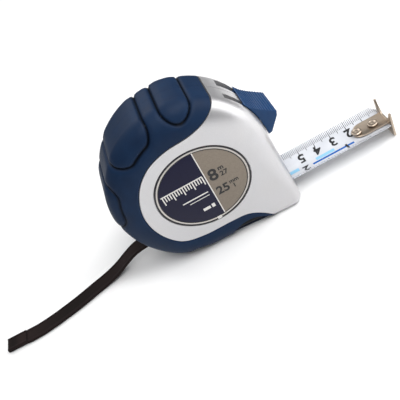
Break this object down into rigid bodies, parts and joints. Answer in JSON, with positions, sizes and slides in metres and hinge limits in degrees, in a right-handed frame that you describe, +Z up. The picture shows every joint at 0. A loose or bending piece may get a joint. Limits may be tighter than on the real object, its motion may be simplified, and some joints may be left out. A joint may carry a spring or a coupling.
{
  "type": "tape measure",
  "caption": "Pocket tape measure with a spring-return reel, a curved steel blade and end hook, a thumb lock, a rubber grip, a belt clip and a wrist strap.",
  "frame": {"origin": "bottom centre of the tape with its blade 61 mm out, leaving out the wrist strap", "axes": "+X the way the blade comes out, +Z up from the base, +Y towards the belt clip"},
  "size_m": [0.2501, 0.05, 0.0908],
  "materials": {
    "silver_abs": "satin silver-painted ABS",
    "grip_rubber": "matt navy thermoplastic rubber",
    "label_print": "printed and domed",
    "white_nylon": "moulded nylon",
    "lock_plastic": "moulded blue ABS",
    "spring_steel": "blued spring steel",
    "black_rubber": "moulded",
    "plated_steel": "zinc-plated",
    "black_plastic": "moulded",
    "blade_enamel": "white enamelled spring steel, printed",
    "nickel_steel": "nickel-plated",
    "webbing": "woven polyester"
  },
  "bodies": {
    "case": {"shell_front": "silver_abs", "shell_back": "silver_abs", "grip_front": "grip_rubber", "grip_back": "grip_rubber", "label_front": "label_print", "mouth_guide": "white_nylon", "lock_spring": "spring_steel", "lever_pin": "plated_steel", "arbor": "plated_steel", "washer_front": "white_nylon", "washer_back": "white_nylon", "blade_lead": "blade_enamel", "belt_clip": "plated_steel", "clip_screw": "plated_steel", "strap_pin": "plated_steel", "case_screw_1": "plated_steel", "case_screw_2": "plated_steel", "case_screw_3": "plated_steel", "wrist_strap": "webbing", "strap_end": "webbing"},
    "reel": {"reel_drum": "black_plastic", "reel_cover": "black_plastic", "mainspring": "spring_steel", "blade_coil": "blade_enamel"},
    "blade": {"blade": "blade_enamel", "hook_rivet_front": "nickel_steel", "hook_rivet_rear": "nickel_steel"},
    "hook": {"hook": "nickel_steel"},
    "lock": {"lock_slider": "lock_plastic"},
    "brake": {"brake_lever": "white_nylon", "brake_pad": "black_rubber"}
  },
  "joints": [
    {"name": "blade_pull", "type": "slide", "parent": "case", "child": "blade", "axis": [1, 0, 0], "range_m": [-0.06, 0.006], "deforming": ["blade_lead"]},
    {"name": "reel_spin", "type": "hinge", "parent": "case", "child": "reel", "pos_m": [-0.02872, -0.00405, 0.043], "axis": [0, 1, 0], "range_deg": [-12, 112]},
    {"name": "hook_play", "type": "slide", "parent": "blade", "child": "hook", "axis": [1, 0, 0], "range_m": [0, 0.0012]},
    {"name": "lock_slide", "type": "hinge", "parent": "case", "child": "lock", "pos_m": [-0.03052, -0.00405, 0.04713], "axis": [0, 1, 0], "range_deg": [-10, 0]},
    {"name": "brake_lift", "type": "hinge", "parent": "case", "child": "brake", "pos_m": [-0.00122, -0.00405, 0.0155], "axis": [0, 1, 0], "range_deg": [0, 3.6]}
  ],
  "couplings": [
    {"joint": "reel_spin", "follows": "blade_pull", "rad_per_m": -32.258},
    {"joint": "brake_lift", "follows": "lock_slide", "ratio": -0.35}
  ]
}
